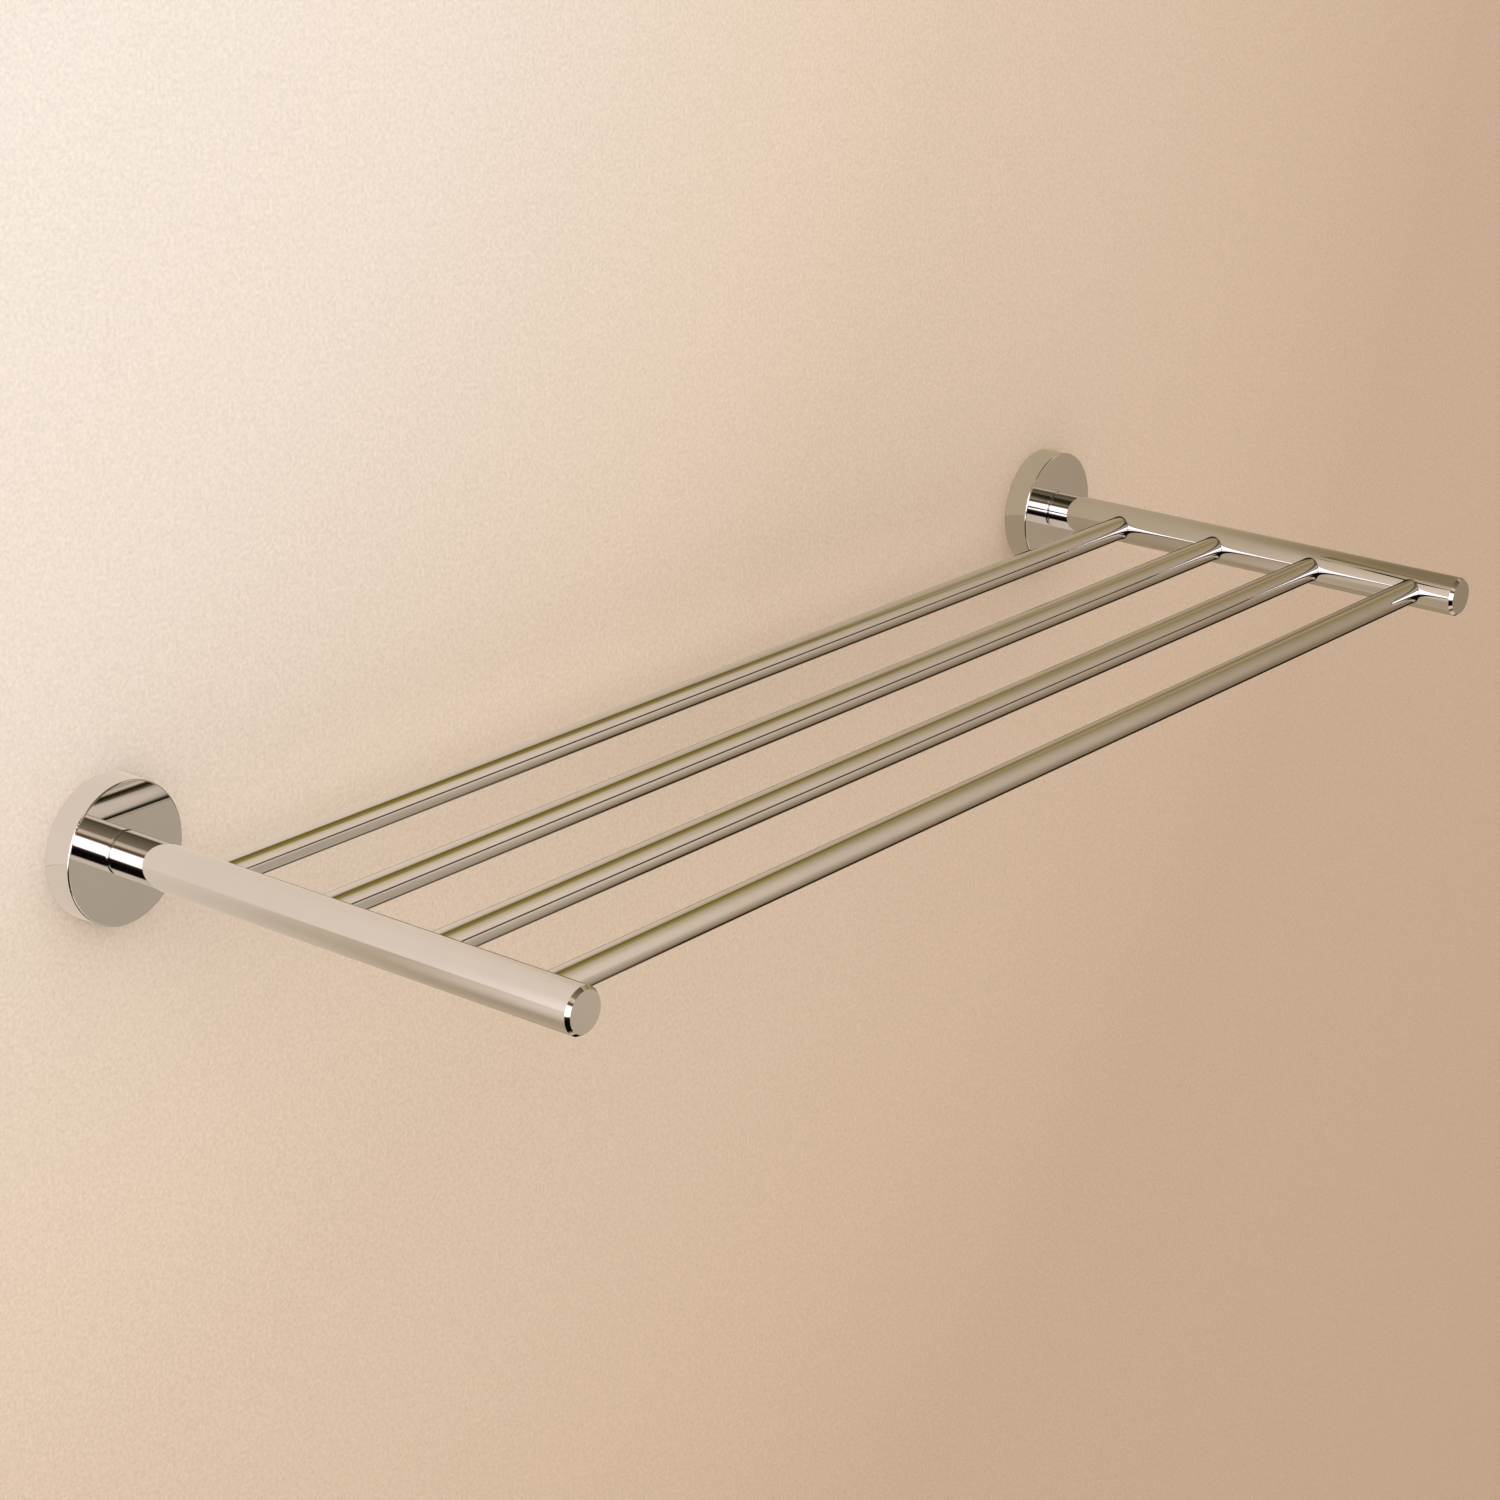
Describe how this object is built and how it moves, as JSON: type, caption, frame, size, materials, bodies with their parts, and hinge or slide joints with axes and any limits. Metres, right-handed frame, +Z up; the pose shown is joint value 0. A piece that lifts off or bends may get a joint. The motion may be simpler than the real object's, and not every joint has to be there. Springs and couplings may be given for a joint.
{
  "type": "wall towel rack",
  "caption": "Wall-mounted towel rack with parallel round cross bars held between round arms that stand out from disc-shaped rosettes.",
  "frame": {"origin": "on the wall plane, midway between the two rosettes, at the height of the arm axes", "axes": "+X along the bars, to the right as seen from the room; +Y into the wall, so the arms point along -Y; +Z up"},
  "size_m": [0.6, 0.208, 0.05],
  "materials": {
    "polished_chrome": "mirror-polished bright chrome plate",
    "zinc": "dull grey die-cast zinc",
    "stainless": "plain stainless fastener finish",
    "brass": "turned, unplated"
  },
  "bodies": {
    "root": {"left_wall_plate": "zinc", "left_rosette": "polished_chrome", "left_rosette_grub_screw": "stainless", "left_arm_bolt": "stainless", "left_arm_insert": "brass", "left_arm_tube": "polished_chrome", "left_end_cap": "polished_chrome", "left_bar_end_plugs": "brass", "left_bar_grub_screws": "stainless", "right_wall_plate": "zinc", "right_rosette": "polished_chrome", "right_rosette_grub_screw": "stainless", "right_arm_bolt": "stainless", "right_arm_insert": "brass", "right_arm_tube": "polished_chrome", "right_end_cap": "polished_chrome", "right_bar_end_plugs": "brass", "right_bar_grub_screws": "stainless", "wall_side_bar": "polished_chrome", "second_bar": "polished_chrome", "third_bar": "polished_chrome", "front_bar": "polished_chrome"}
  },
  "joints": []
}
